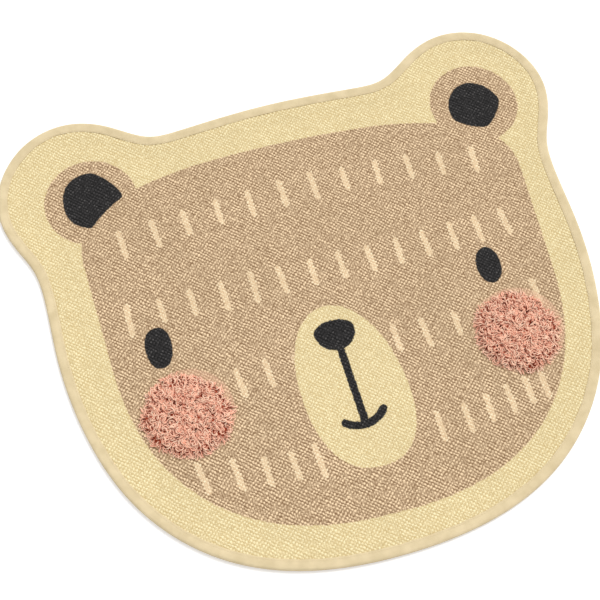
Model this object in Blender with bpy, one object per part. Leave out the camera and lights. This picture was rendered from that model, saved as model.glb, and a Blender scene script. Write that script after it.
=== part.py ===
"""A child's flat rug cut to the outline of a bear's head, with round ears at the top corners.

It is made as the real one is: a panel of thick plain-woven cotton, a cotton tape folded over the cut
edge all the way round, and two round cheeks of curly pile on top. Metres, +Z up. The origin is under
the middle of the rug on the floor, +Y points to the ears and +X to the right as seen from above.
"""

import math

import bmesh
import bpy
import numpy as np

# Overall size: the whole plan follows these two.
RUG_WIDTH = 0.900
RUG_DEPTH = 0.800

# Thickness of the woven panel and of the tape, and the air between pieces that touch.
PANEL_THICKNESS = 0.0042
TAPE_THICKNESS = 0.0012
CLEARANCE = 0.0003

# How far the folded tape reaches in from the rug's edge.
TAPE_REACH = 0.0155

# The tape's fold cut across, as shares of its reach and of its whole thickness.
FOLD_SECTION = (
    # (inward, up)
    (1.00, 1.00),
    (0.20, 1.00),
    (0.05, 0.83),
    (0.00, 0.50),
    (0.05, 0.17),
    (0.20, 0.00),
    (1.00, 0.00),
)

# The tape lifts the panel's rim. Past the tape the panel sinks back to the floor in these steps.
RIM_STEPS = (
    # (further inward, share of the lift that is left)
    (0.0155, 1.00),
    (0.0100, 0.50),
    (0.0150, 0.00),
)

# A pile cheek: a lumpy round pad, with loose locks round its rim that droop to the cloth.
CHEEK_RADIUS = 0.059
CHEEK_HEIGHT = 0.0130
CLUMP_COUNT = 44
CLUMP_RISE = 0.0034
LOCK_COUNT = 46
SHORTEST_LOCK = 0.0025
LONGEST_LOCK = 0.0085
LOCK_SWAY = 0.035

# The pad's rings from the middle of its top, over its rim and the locks, to the middle underneath.
PAD_RINGS = (
    # (share of the radius, share of the height, share of a clump's rise, share of a lock's length)
    (0.00, 0.86, 1.0, 0.0),
    (0.11, 0.86, 1.0, 0.0),
    (0.22, 0.86, 1.0, 0.0),
    (0.33, 0.85, 1.0, 0.0),
    (0.44, 0.84, 1.0, 0.0),
    (0.55, 0.83, 1.0, 0.0),
    (0.66, 0.81, 1.0, 0.0),
    (0.76, 0.77, 1.0, 0.0),
    (0.85, 0.70, 1.0, 0.0),
    (0.93, 0.58, 0.8, 0.1),
    (0.98, 0.40, 0.4, 0.4),
    (1.00, 0.17, 0.0, 1.0),
    (0.99, 0.00, 0.0, 0.6),
    (0.00, 0.00, 0.0, 0.0),
)
# One lock from the notch before it to its far side, as shares of its length.
LOCK_STEPS = (0.0, 1.0, 0.7)

# The cheeks' places from the rug's middle, and the seed of each one's unevenness.
CHEEKS = (
    # (name, across, up, seed)
    ("cheek_pile_left", -0.2495, -0.121, 3),
    ("cheek_pile_right", 0.2575, -0.1305, 8),
)

# Right half of the outline as shares of half the width and of the depth.
HALF_OUTLINE = (
    # (place, across, up)
    ("chin", 0.000, 0.000),
    ("under jaw", 0.311, 0.019),
    ("jaw", 0.578, 0.086),
    ("jaw corner", 0.778, 0.208),
    ("cheek", 0.880, 0.356),
    ("side", 0.916, 0.525),
    ("temple", 0.920, 0.685),
    ("ear root", 0.962, 0.750),
    ("ear side", 1.000, 0.825),
    ("ear corner", 0.969, 0.908),
    ("ear shoulder", 0.860, 0.976),
    ("ear top", 0.711, 0.999),
    ("ear inner corner", 0.567, 0.974),
    ("ear dip", 0.444, 0.931),
    ("brow", 0.322, 0.926),
    ("crown", 0.000, 0.935),
)
STATION_SPACING = 0.017

WOVEN_COTTON = {"name": "woven cotton", "colour": (0.62, 0.43, 0.25), "roughness": 0.92}
COTTON_TAPE = {"name": "cotton tape", "colour": (0.79, 0.64, 0.39), "roughness": 0.85}
LEFT_YARN = {"name": "left pile yarn", "colour": (0.66, 0.29, 0.21), "roughness": 0.95}
RIGHT_YARN = {"name": "right pile yarn", "colour": (0.66, 0.29, 0.21), "roughness": 0.95}

RIM_LIFT = TAPE_THICKNESS + CLEARANCE
RIM_THICKNESS = PANEL_THICKNESS + 2 * RIM_LIFT


def spline_tangents(points, spans):
    """Tangents at the points of a closed cubic spline that keep its bending continuous there."""
    count = len(points)
    before = np.roll(spans, 1)
    ahead = spans
    rise_ahead = (np.roll(points, -1, axis=0) - points) / ahead[:, None]
    rise_before = (points - np.roll(points, 1, axis=0)) / before[:, None]
    here = np.arange(count)
    system = np.zeros((count, count))
    system[here, here - 1] = ahead
    system[here, here] = 2 * (before + ahead)
    system[here, (here + 1) % count] = before
    wanted = 3 * (before[:, None] * rise_ahead + ahead[:, None] * rise_before)
    return np.linalg.solve(system, wanted)


def closed_spline(points, spacing):
    """Points about the given spacing apart on a smooth closed curve through the given ones."""
    chords = np.roll(points, -1, axis=0) - points
    lengths = np.linalg.norm(chords, axis=1)
    spans = np.sqrt(lengths)
    tangents = spline_tangents(points, spans)
    curve = []
    for i, length in enumerate(lengths):
        steps = round(length / spacing)
        share = np.arange(steps)[:, None] / steps
        following = (i + 1) % len(points)
        curve.append(
            (2 * share**3 - 3 * share**2 + 1) * points[i]
            + (share**3 - 2 * share**2 + share) * spans[i] * tangents[i]
            + (3 * share**2 - 2 * share**3) * points[following]
            + (share**3 - share**2) * spans[i] * tangents[following]
        )
    return np.concatenate(curve)


def rug_outline():
    """The rug's edge seen from above, counter-clockwise, with the middle of its box at the origin."""
    right = np.array([(across * RUG_WIDTH / 2, up * RUG_DEPTH) for _, across, up in HALF_OUTLINE])
    left = right[-2:0:-1] * (-1, 1)
    curve = closed_spline(np.concatenate([right, left]), STATION_SPACING)
    low, high = curve.min(axis=0), curve.max(axis=0)
    return (curve - (low + high) / 2) * (RUG_WIDTH, RUG_DEPTH) / (high - low)


def inside(outline, distance):
    """A counter-clockwise outline moved inward at each point, square to the run past that point."""
    ahead = np.roll(outline, -1, axis=0) - outline
    ahead /= np.linalg.norm(ahead, axis=1)[:, None]
    run = ahead + np.roll(ahead, 1, axis=0)
    run /= np.linalg.norm(run, axis=1)[:, None]
    inward = np.stack([-run[:, 1], run[:, 0]], axis=1)
    return outline + distance * inward


def cloth_material(name, colour, roughness):
    """A matt cloth or yarn of one colour."""
    material = bpy.data.materials.new(name)
    material.use_nodes = True
    shader = material.node_tree.nodes["Principled BSDF"]
    shader.inputs["Base Color"].default_value = (*colour, 1.0)
    shader.inputs["Roughness"].default_value = roughness
    shader.inputs["Metallic"].default_value = 0.0
    return material


def closed_curve(name, points, dimensions):
    """A curve object that joins the points with straight runs and closes on itself."""
    data = bpy.data.curves.new(name, "CURVE")
    data.dimensions = dimensions
    run = data.splines.new("POLY")
    run.points.add(len(points) - 1)
    for point, (x, y) in zip(run.points, points):
        point.co = (x, y, 0.0, 1.0)
    run.use_cyclic_u = True
    return bpy.data.objects.new(name, data)


def sink_rim(form, face):
    """Steps a wide face of the panel inward and down, ring by ring, from the tape to the floor."""
    lift_left = 1.0
    for inward, share in RIM_STEPS:
        bmesh.ops.inset_region(form, faces=[face], thickness=inward, use_even_offset=True)
        fall = (lift_left - share) * RIM_LIFT
        bmesh.ops.translate(form, verts=face.verts, vec=(0.0, 0.0, -fall))
        lift_left = share


def woven_panel(outline, parts):
    """The cloth: a slab with the rug's outline, lifted at its rim where the tape folds under it."""
    form = bmesh.new()
    rim = [form.verts.new((x, y, RIM_LIFT)) for x, y in inside(outline, RIM_LIFT)]
    underside = form.faces.new(rim)
    slab = bmesh.ops.extrude_face_region(form, geom=[underside])
    raised = [item for item in slab["geom"] if isinstance(item, bmesh.types.BMVert)]
    bmesh.ops.translate(form, verts=raised, vec=(0.0, 0.0, PANEL_THICKNESS))
    bmesh.ops.recalc_face_normals(form, faces=form.faces)
    wide_faces = [face for face in form.faces if len(face.verts) == len(outline)]
    for face in wide_faces:
        sink_rim(form, face)
    mesh = bpy.data.meshes.new("woven_panel")
    form.to_mesh(mesh)
    form.free()
    mesh.materials.append(cloth_material(**WOVEN_COTTON))
    parts.objects.link(bpy.data.objects.new("woven_panel", mesh))


def fold_section():
    """The folded tape cut across: a hairpin, as (outward, up) from the rug's edge on the floor."""
    outer = [(-inward * TAPE_REACH, up * RIM_THICKNESS) for inward, up in FOLD_SECTION]
    inner = [
        (-TAPE_REACH, TAPE_THICKNESS),
        (-TAPE_THICKNESS, TAPE_THICKNESS),
        (-TAPE_THICKNESS, RIM_THICKNESS - TAPE_THICKNESS),
        (-TAPE_REACH, RIM_THICKNESS - TAPE_THICKNESS),
    ]
    return outer + inner


def edge_binding(outline, parts, guides):
    """The tape: its folded section carried once round the rug's edge."""
    section = closed_curve("tape_section", fold_section(), "2D")
    section.hide_render = True
    section.display_type = "WIRE"
    guides.objects.link(section)
    tape = closed_curve("edge_binding", outline, "3D")
    tape.data.twist_mode = "Z_UP"
    tape.data.bevel_mode = "OBJECT"
    tape.data.bevel_object = section
    tape.data.materials.append(cloth_material(**COTTON_TAPE))
    parts.objects.link(tape)


def clumps(x, y, turn):
    """How high the clumps of yarn stand at each place, from 0 between them to 1 on their crowns.

    The clumps are even in area: their middles lie along a spiral, a golden angle after each other.
    """
    number = np.arange(CLUMP_COUNT)
    reach = CHEEK_RADIUS * np.sqrt((number + 0.5) / CLUMP_COUNT)
    angle = number * math.pi * (3 - math.sqrt(5)) + turn
    middles = reach * np.exp(1j * angle)
    nearest = np.abs((x + 1j * y)[:, None] - middles).min(axis=1)
    half_spacing = CHEEK_RADIUS / math.sqrt(CLUMP_COUNT)
    return np.clip(1 - (nearest / half_spacing) ** 2, 0, 1)


def pressed_ball(ball, seed):
    """Presses a unit ball's points into a cheek's form, and returns them in the same order.

    Each ring of the ball from pole to pole becomes one row of PAD_RINGS, and each column of the ball
    is a notch, a tip or a flank of one lock.
    """
    ring_table = np.array(PAD_RINGS)
    columns = LOCK_COUNT * len(LOCK_STEPS)
    from_pole = np.arccos(np.clip(ball[:, 2], -1, 1)) / math.pi
    ring = np.rint(from_pole * (len(PAD_RINGS) - 1)).astype(int)
    out, up, rise, lock = ring_table[ring].T
    angle = np.arctan2(ball[:, 1], ball[:, 0])
    column = np.rint(angle / (2 * math.pi) * columns).astype(int) % columns
    chance = np.random.default_rng(seed)
    lengths = chance.uniform(SHORTEST_LOCK, LONGEST_LOCK, LOCK_COUNT)
    lock_reach = np.outer(lengths, LOCK_STEPS).ravel()[column]
    sway = chance.uniform(-LOCK_SWAY, LOCK_SWAY, LOCK_COUNT)
    lock_sway = np.outer(sway, np.sign(LOCK_STEPS)).ravel()[column]
    radius = out * CHEEK_RADIUS + lock * lock_reach
    x = radius * np.cos(angle + lock * lock_sway)
    y = radius * np.sin(angle + lock * lock_sway)
    z = up * CHEEK_HEIGHT + rise * CLUMP_RISE * clumps(x, y, seed)
    return np.stack([x, y, z], axis=1)


def cheek_pile(name, across, up, seed, yarn, parts):
    """One cheek: a ball pressed into a flat-bottomed pad, its rim drawn out into locks of yarn."""
    form = bmesh.new()
    columns = LOCK_COUNT * len(LOCK_STEPS)
    bmesh.ops.create_uvsphere(form, u_segments=columns, v_segments=len(PAD_RINGS) - 1, radius=1.0)
    mesh = bpy.data.meshes.new(name)
    form.to_mesh(mesh)
    form.free()
    ball = np.array([vert.co[:] for vert in mesh.vertices])
    mesh.vertices.foreach_set("co", pressed_ball(ball, seed).ravel())
    mesh.update()
    mesh.shade_smooth()
    mesh.materials.append(cloth_material(**yarn))
    cheek = bpy.data.objects.new(name, mesh)
    cheek.location = (across, up, PANEL_THICKNESS + CLEARANCE)
    parts.objects.link(cheek)


def main():
    for old in list(bpy.data.objects):
        bpy.data.objects.remove(old)
    parts = bpy.data.collections.new("bear_shaped_rug")
    guides = bpy.data.collections.new("guides")
    bpy.context.scene.collection.children.link(parts)
    bpy.context.scene.collection.children.link(guides)
    outline = rug_outline()
    woven_panel(outline, parts)
    edge_binding(outline, parts, guides)
    for (name, across, up, seed), yarn in zip(CHEEKS, (LEFT_YARN, RIGHT_YARN)):
        cheek_pile(name, across, up, seed, yarn, parts)


main()
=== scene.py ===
"""A kids rug in the shape of a bear's head, dressed for its picture.

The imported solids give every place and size. Here the panel becomes plain-woven cloth with a point for
each crossing of its yarns and a bear's face printed on it, the cut edge gets a folded tape with its
rows of stitches, and each cheek gets its curls of yarn. The face is drawn with plain shapes only:
superellipses, some with a round bite, a stroke, an arc, and short dashes laid in rows by a rule.
"""

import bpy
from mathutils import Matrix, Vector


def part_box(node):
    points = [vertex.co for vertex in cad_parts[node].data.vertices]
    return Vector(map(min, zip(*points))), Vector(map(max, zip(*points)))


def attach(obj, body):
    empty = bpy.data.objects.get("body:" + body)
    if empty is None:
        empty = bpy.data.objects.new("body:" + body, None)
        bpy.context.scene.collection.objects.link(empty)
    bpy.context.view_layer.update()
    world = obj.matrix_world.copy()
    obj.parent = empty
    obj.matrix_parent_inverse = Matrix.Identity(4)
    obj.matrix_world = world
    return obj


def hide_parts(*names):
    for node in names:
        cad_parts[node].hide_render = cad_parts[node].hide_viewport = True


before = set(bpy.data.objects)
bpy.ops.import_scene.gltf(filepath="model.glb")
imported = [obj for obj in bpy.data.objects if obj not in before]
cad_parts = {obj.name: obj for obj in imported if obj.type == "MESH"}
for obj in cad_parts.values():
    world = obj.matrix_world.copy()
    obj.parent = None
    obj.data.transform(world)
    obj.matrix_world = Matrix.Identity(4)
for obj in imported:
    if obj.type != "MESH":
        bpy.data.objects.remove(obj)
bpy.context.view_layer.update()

import logging
import math
from collections.abc import Iterable
from dataclasses import dataclass, field
from enum import Enum
from typing import Union

import bmesh
import bpy
import numpy as np
from mathutils import Euler
from mathutils.geometry import delaunay_2d_cdt

LOG = logging.getLogger("bear_rug")
MM = 0.001
TURN = 2 * math.pi
GOLDEN_ANGLE = math.pi * (3 - math.sqrt(5))
Array = np.ndarray
Colour = tuple[float, float, float]
Value = Union["Signal", float]


# ---- Shader tools ----


def dye(red: float, green: float, blue: float) -> Colour:
    """A colour given as it looks on a screen, from 0 to 255, as the linear light a shader wants."""
    shares = (level / 255 for level in (red, green, blue))
    return tuple(s / 12.92 if s <= 0.04045 else ((s + 0.055) / 1.055) ** 2.4 for s in shares)


class Signal:
    """A value in a material: the output socket of a node, with arithmetic that adds Math nodes."""

    def __init__(self, bench: "Bench", socket: bpy.types.NodeSocket) -> None:
        """Wraps the socket of a node that stands on the given bench."""
        self.bench = bench
        self.socket = socket

    def __add__(self, other: Value) -> "Signal":
        """The sum."""
        return self.bench.math("ADD", self, other)

    __radd__ = __add__

    def __sub__(self, other: Value) -> "Signal":
        """The difference."""
        return self.bench.math("SUBTRACT", self, other)

    def __rsub__(self, other: Value) -> "Signal":
        """The difference from a number."""
        return self.bench.math("SUBTRACT", other, self)

    def __mul__(self, other: Value) -> "Signal":
        """The product."""
        return self.bench.math("MULTIPLY", self, other)

    __rmul__ = __mul__

    def __abs__(self) -> "Signal":
        """The size without its sign."""
        return self.bench.math("ABSOLUTE", self)


class Bench:
    """One material's nodes, made and joined from Python expressions."""

    def __init__(self, name: str) -> None:
        """Starts an empty material.

        Args:
            name: The material's name.
        """
        self.material = bpy.data.materials.new(name)
        self.material.use_nodes = True
        self.tree = self.material.node_tree
        self.tree.nodes.clear()

    def node(self, kind: str, settings: dict | None = None, sockets: dict | None = None) -> bpy.types.Node:
        """Adds one node.

        Args:
            kind: The node's type.
            settings: Its own properties, which are set first.
            sockets: What each input gets, by the input's name or number: a signal or a plain value.

        Returns:
            The node.
        """
        made = self.tree.nodes.new(kind)
        for name, setting in (settings or {}).items():
            setattr(made, name, setting)
        for name, value in (sockets or {}).items():
            if isinstance(value, Signal):
                self.tree.links.new(value.socket, made.inputs[name])
            elif isinstance(value, tuple) and len(made.inputs[name].default_value) == 4:
                made.inputs[name].default_value = (*value, 1.0)
            else:
                made.inputs[name].default_value = value
        return made

    def signal(
        self, kind: str, settings: dict | None = None, sockets: dict | None = None, output: int | str = 0
    ) -> Signal:
        """Adds one node, as node does, and returns the signal of one of its outputs."""
        return Signal(self, self.node(kind, settings, sockets).outputs[output])

    def math(self, operation: str, *values: Value) -> Signal:
        """One Math node on signals and numbers."""
        return self.signal("ShaderNodeMath", {"operation": operation}, dict(enumerate(values)))

    def vector(self, operation: str, *values: Signal | Colour) -> Signal:
        """One Vector Math node."""
        return self.signal("ShaderNodeVectorMath", {"operation": operation}, dict(enumerate(values)))

    def step(self, value: Signal, low: float, high: float) -> Signal:
        """A smooth step: 0 where the value is at low, 1 at high, with an even S between them."""
        sockets = {"Value": value, "From Min": low, "From Max": high}
        return self.signal("ShaderNodeMapRange", {"interpolation_type": "SMOOTHSTEP"}, sockets)

    def blend(self, share: Value, start: Signal | Colour, end: Signal | Colour) -> Signal:
        """A mix of two colours, the first at share 0 and the second at 1."""
        return self.signal("ShaderNodeMix", {"data_type": "RGBA"}, {0: share, 6: start, 7: end}, output=2)

    def place(self) -> Signal:
        """Where the surface point is, in metres in the object's own frame."""
        return self.signal("ShaderNodeTexCoord", output="Object")

    def chart(self, name: str) -> Signal:
        """A UV map's two coordinates, as a vector."""
        return self.signal("ShaderNodeUVMap", {"uv_map": name})

    def parts(self, vector: Signal) -> tuple[Signal, Signal, Signal]:
        """The three numbers of a vector."""
        split = self.node("ShaderNodeSeparateXYZ", sockets={0: vector})
        return tuple(Signal(self, split.outputs[axis]) for axis in range(3))

    def height(self) -> Signal:
        """How high above the floor the surface point is, in metres."""
        return self.parts(self.place())[2]

    def wave(self, value: Signal, length: float, form: str = "SINE") -> Signal:
        """A SINE or COSINE of the value, from -1 to 1, that comes round again every length of it."""
        return self.math(form, value * (TURN / length))

    def attribute(self, name: str) -> Signal:
        """A number stored at the mesh's points."""
        return self.signal("ShaderNodeAttribute", {"attribute_name": name}, output="Fac")

    def noise(
        self, where: Signal, scale: float, detail: float = 2.0, roughness: float = 0.5, output: str = "Fac"
    ) -> Signal:
        """Cloudy noise around one half, and from the output "Color" three of them as a vector."""
        sockets = {"Vector": where, "Scale": scale, "Detail": detail, "Roughness": roughness}
        return self.signal("ShaderNodeTexNoise", sockets=sockets, output=output)

    def scatter(self, where: Signal) -> Signal:
        """A fixed random number from 0 to 1 for each whole-number cell of a vector."""
        cell = self.vector("FLOOR", where)
        return self.signal("ShaderNodeTexWhiteNoise", {"noise_dimensions": "3D"}, {"Vector": cell})

    def finish(
        self, colour: Signal, roughness: Value, relief: Signal, depth: float, **fixed: float | Colour
    ) -> None:
        """Ends the material in a Principled BSDF.

        Args:
            colour: The base colour.
            roughness: The roughness.
            relief: The height of the fine surface, from 0 to 1.
            depth: How high 1 is, in metres.
            fixed: Other inputs of the BSDF that are the same all over, with _ for each space.
        """
        bump = self.signal("ShaderNodeBump", sockets={"Height": relief, "Distance": depth, "Strength": 1.0})
        sockets = {"Base Color": colour, "Roughness": roughness, "Normal": bump}
        sockets |= {name.replace("_", " "): value for name, value in fixed.items()}
        shader = self.signal("ShaderNodeBsdfPrincipled", sockets=sockets)
        self.node("ShaderNodeOutputMaterial", sockets={"Surface": shader})


# ---- Mesh tools ----


def make_piece(name: str, points: Array, faces: list[Array]) -> bpy.types.Object:
    """Puts points and faces into a smooth mesh object at the origin.

    Args:
        name: The piece's name.
        points: One row of x, y, z for each point, in metres.
        faces: Arrays of point numbers, one row for each face, all rows of one array alike in length.

    Returns:
        The new object, linked to the scene.
    """
    mesh = bpy.data.meshes.new(name)
    corners = np.concatenate([group.ravel() for group in faces]).astype(np.int32)
    sizes = np.concatenate([np.full(len(group), group.shape[1]) for group in faces])
    starts = (np.cumsum(sizes) - sizes).astype(np.int32)
    mesh.vertices.add(len(points))
    mesh.vertices.foreach_set("co", points.astype(np.float32).ravel())
    mesh.loops.add(len(corners))
    mesh.loops.foreach_set("vertex_index", corners)
    mesh.polygons.add(len(starts))
    mesh.polygons.foreach_set("loop_start", starts)
    mesh.update(calc_edges=True)
    mesh.validate()
    mesh.shade_smooth()
    piece = bpy.data.objects.new(name, mesh)
    bpy.context.scene.collection.objects.link(piece)
    return piece


def store(piece: bpy.types.Object, name: str, values: Array) -> None:
    """Stores one number for each point of the piece's mesh."""
    layer = piece.data.attributes.new(name, "FLOAT", "POINT")
    layer.data.foreach_set("value", values.astype(np.float32))


def lay_chart(piece: bpy.types.Object, name: str, corners: Array) -> None:
    """Gives the piece a UV map, with one row of two numbers for each corner of its faces in turn."""
    layer = piece.data.uv_layers.new(name=name)
    layer.data.foreach_set("uv", corners.astype(np.float32).ravel())


def corner_points(piece: bpy.types.Object) -> Array:
    """The point number at each corner of the piece's faces in turn.

    Args:
        piece: A mesh object.

    Returns:
        The numbers.
    """
    numbers = np.zeros(len(piece.data.loops), np.int32)
    piece.data.loops.foreach_get("vertex_index", numbers)
    return numbers


def ring_quads(rings: int, sides: int, closed: bool) -> Array:
    """Quads between rings of points, where point s of ring r has the number r * sides + s.

    Args:
        rings: How many rings.
        sides: How many points in each.
        closed: Whether the last ring joins the first.

    Returns:
        Four point numbers a row.
    """
    ring = np.arange(rings if closed else rings - 1)[:, None]
    side = np.arange(sides)[None, :]
    here, above = ring * sides, (ring + 1) % rings * sides
    ahead = (side + 1) % sides
    return np.stack([here + side, here + ahead, above + ahead, above + side], axis=-1).reshape(-1, 4)


def many(shape: Array, copies: int, points_each: int) -> Array:
    """The faces of one small shape, repeated for joined copies with points_each points a copy."""
    offsets = np.arange(copies)[:, None, None] * points_each
    return (shape[None] + offsets).reshape(-1, shape.shape[1])


def unit(vectors: Array) -> Array:
    """The same directions with length one."""
    return vectors / np.linalg.norm(vectors, axis=-1, keepdims=True)


def ease(value: Array, low: float, high: float) -> Array:
    """A smooth step from 0 at low to 1 at high: 3 t squared less 2 t cubed."""
    share = np.clip((value - low) / (high - low), 0, 1)
    return share * share * (3 - 2 * share)


def settle(waves: Array) -> Array:
    """Adds up waves along the last axis and brings the sum to run about from -1 to 1.

    A sum of waves is usually as great as the root of half their number, and its crests are 1.6 times
    that.

    Args:
        waves: Values from -1 to 1, with one wave in each place of the last axis.

    Returns:
        The sums.
    """
    usual = math.sqrt(waves.shape[-1] / 2)
    return waves.sum(axis=-1) / usual / 1.6


def drift(places: Array, length: float, seed: int, waves: int = 7) -> Array:
    """Slow seeded unevenness over a plan: plane waves, sin(wave vector . place + phase), added up.

    Args:
        places: Where it is wanted, one row of x and y for each place.
        length: The waves' usual length; each has 0.6 to 1.6 times that, in a direction of its own.
        seed: The seed of its random numbers.
        waves: How many waves are added up.

    Returns:
        A number for each place, about from -1 to 1.
    """
    chance = np.random.default_rng(seed)
    heading = chance.uniform(0, TURN, waves)
    rate = TURN / (length * chance.uniform(0.6, 1.6, waves))
    phase = chance.uniform(0, TURN, waves)
    wave = np.stack([np.cos(heading) * rate, np.sin(heading) * rate])
    return settle(np.sin(places @ wave + phase))


def round_drift(turn: Array, fewest: int, most: int, seed: int, waves: int = 9) -> Array:
    """Seeded unevenness round a closed run: sin(turns . n + phase) for whole numbers n, added up.

    Args:
        turn: How far round each place is, from 0 to 1.
        fewest, most: Between which numbers each n is drawn.
        seed: The seed of its random numbers.
        waves: How many waves are added up.

    Returns:
        A number for each place, about from -1 to 1.
    """
    chance = np.random.default_rng(seed)
    number = chance.integers(fewest, most, waves)
    phase = chance.uniform(0, TURN, waves)
    return settle(np.sin(TURN * turn[:, None] * number + phase))


# ---- The rug's edge ----


@dataclass(frozen=True)
class RugEdge:
    """The rug's edge seen from above: a smooth closed curve, counter-clockwise.

    Attributes:
        points: Evenly spaced places on the curve, in metres.
        inward: The unit vector into the rug at each of them.
        length: The length of the curve.
    """

    points: Array
    inward: Array
    length: float

    @classmethod
    def from_tape(cls, tape: bpy.types.Object, count: int = 2000) -> "RugEdge":
        """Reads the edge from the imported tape.

        The outermost corners of the tape's solid are the ones at half its height. Put in order by
        their bearing from the middle, they are the stations of the curve.

        Args:
            tape: The tape's CAD node.
            count: How many evenly spaced points the curve gets.

        Returns:
            The edge.
        """
        digits, slack = 5, 0.2 * MM
        places = np.zeros(len(tape.data.vertices) * 3, np.float32)
        tape.data.vertices.foreach_get("co", places)
        corners = np.unique(np.round(places.reshape(-1, 3).astype(float), digits), axis=0)
        half_height = corners[:, 2].max() / 2
        outermost = corners[np.abs(corners[:, 2] - half_height) < slack][:, :2]
        bearing = np.arctan2(outermost[:, 1], outermost[:, 0])
        return cls.through(outermost[np.argsort(bearing)], count)

    @classmethod
    def through(cls, stations: Array, count: int, cuts: int = 24) -> "RugEdge":
        """A closed cubic spline through the stations, cut into evenly spaced points.

        Each run between stations is a cubic whose end slopes are the ones that keep the bending even:
        the slopes solve ahead * t0 + 2 (before + ahead) * t1 + before * t2 = 3 (weighted rises).

        Args:
            stations: Places on the edge, counter-clockwise.
            count: How many evenly spaced points the curve gets.
            cuts: Into how many steps each run is cut to measure the curve's length.

        Returns:
            The edge.
        """
        spans = np.linalg.norm(np.roll(stations, -1, axis=0) - stations, axis=1)
        before, here, total = np.roll(spans, 1), np.arange(len(stations)), len(stations)
        after = (here + 1) % total
        rise = (stations[after] - stations) / spans[:, None]
        system = np.zeros((total, total))
        system[here, here - 1] = spans
        system[here, here] = 2 * (before + spans)
        system[here, after] = before
        wanted = 3 * (before[:, None] * rise + spans[:, None] * np.roll(rise, 1, axis=0))
        slopes = np.linalg.solve(system, wanted)
        first_slope, last_slope = slopes * spans[:, None], slopes[after] * spans[:, None]
        share = (np.arange(cuts) / cuts)[None, :, None]
        fine = (
            (2 * share**3 - 3 * share**2 + 1) * stations[:, None]
            + (share**3 - 2 * share**2 + share) * first_slope[:, None]
            + (3 * share**2 - 2 * share**3) * stations[after][:, None]
            + (share**3 - share**2) * last_slope[:, None]
        ).reshape(-1, 2)
        closed = np.concatenate([fine, fine[:1]])
        run = np.concatenate([[0.0], np.cumsum(np.linalg.norm(np.diff(closed, axis=0), axis=1))])
        wanted_run = np.arange(count) / count * run[-1]
        points = np.stack([np.interp(wanted_run, run, closed[:, axis]) for axis in range(2)], axis=1)
        ahead = unit(np.roll(points, -1, axis=0) - np.roll(points, 1, axis=0))
        return cls(points, np.stack([-ahead[:, 1], ahead[:, 0]], axis=1), float(run[-1]))

    def inside(self, distance: float, every: int = 1) -> Array:
        """The curve moved into the rug, square to itself, with only every so many of its points."""
        return (self.points + self.inward * distance)[::every]

    def depth(self, places: Array, batch_size: int = 4096) -> Array:
        """How far inside the edge each place lies: (place - nearest curve point) . inward.

        Args:
            places: One row of x and y for each place.
            batch_size: About how many places are worked out at a time, to spare memory.

        Returns:
            The depths in metres, negative outside.
        """
        found = []
        curve = self.points[::2] @ (1, 1j)
        for batch in np.array_split(places, max(1, len(places) // batch_size)):
            gap = np.abs((batch @ (1, 1j))[:, None] - curve)
            nearest = gap.argmin(axis=1) * 2
            found.append(((batch - self.points[nearest]) * self.inward[nearest]).sum(axis=1))
        return np.concatenate(found)

    def area(self, distance: float = 0.0) -> float:
        """The area within the curve, or within it moved in: half the sum of cross products."""
        x, y = self.inside(distance).T
        return float(np.sum(x * np.roll(y, -1) - y * np.roll(x, -1)) / 2)


# ---- The printed face, in millimetres from the middle of the rug ----


@dataclass(frozen=True)
class Oval:
    """A superellipse: |x / a| ** n + |y / b| ** n is 1 on its edge.

    Attributes:
        centre: The middle of its widest stretch.
        half_width: a.
        below, above: b on the lower and on the upper side.
        power_below, power_above: n on the lower and on the upper side.
        lean: How far the shape shifts to the side for each millimetre up.
        turn: How far the whole shape is turned, in degrees.
        flank: Half the height of a straight stretch of its sides.
        taper: How much wider the shape gets for each millimetre up, as a share.
        tilt: How much higher its top and bottom get for each millimetre to the side.
    """

    centre: tuple[float, float]
    half_width: float
    below: float
    above: float
    power_below: float = 2.0
    power_above: float = 2.0
    lean: float = 0.0
    turn: float = 0.0
    flank: float = 0.0
    taper: float = 0.0
    tilt: float = 0.0

    def radius(self, places: Array) -> Array:
        """(|x / a| ** n + |y / b| ** n) ** (1 / n), with y counted from the ends of the flanks.

        Args:
            places: One row of x and y for each place.

        Returns:
            The superellipse's radius at each place, which is 1 on its edge.
        """
        right, up = (places - self.centre).T
        cos, sin = math.cos(math.radians(self.turn)), math.sin(math.radians(self.turn))
        x, y = right * cos + up * sin, up * cos - right * sin
        level = y - self.tilt * x
        past = np.maximum(np.abs(level) - self.flank, 0)
        b = np.where(level < 0, self.below, self.above)
        n = np.where(level < 0, self.power_below, self.power_above)
        a = self.half_width * (1 + self.taper * y)
        return (np.abs((x - self.lean * y) / a) ** n + (past / b) ** n) ** (1 / n)

    def distance(self, places: Array) -> Array:
        """How far outside the edge each place is: (radius - 1) over its slope.

        Args:
            places: One row of x and y for each place.

        Returns:
            The distances, negative inside.
        """
        step, least_slope = 0.5, 1e-4
        slopes = [self.radius(places + way) - self.radius(places - way) for way in np.eye(2) * step]
        return (self.radius(places) - 1) / np.maximum(np.hypot(*slopes) / (2 * step), least_slope)


@dataclass(frozen=True)
class Bitten:
    """A shape with a round bite out of one side, such as an inner ear.

    Attributes:
        shape: The whole shape.
        towards: The bearing of the bite from the shape's centre, in degrees.
        left: How far from the centre the bite starts.
        hollow: The radius of the bite; a great one makes a straight cut.
    """

    shape: Oval
    towards: float
    left: float
    hollow: float

    def distance(self, places: Array) -> Array:
        """The greater of the distances to the shape's edge and into the bite's disc.

        Args:
            places: One row of x and y for each place.

        Returns:
            The distances, negative inside.
        """
        bearing, reach = math.radians(self.towards), self.left + self.hollow
        middle = np.array(self.shape.centre) + (reach * math.cos(bearing), reach * math.sin(bearing))
        return np.maximum(self.shape.distance(places), self.hollow - np.hypot(*(places - middle).T))


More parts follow.
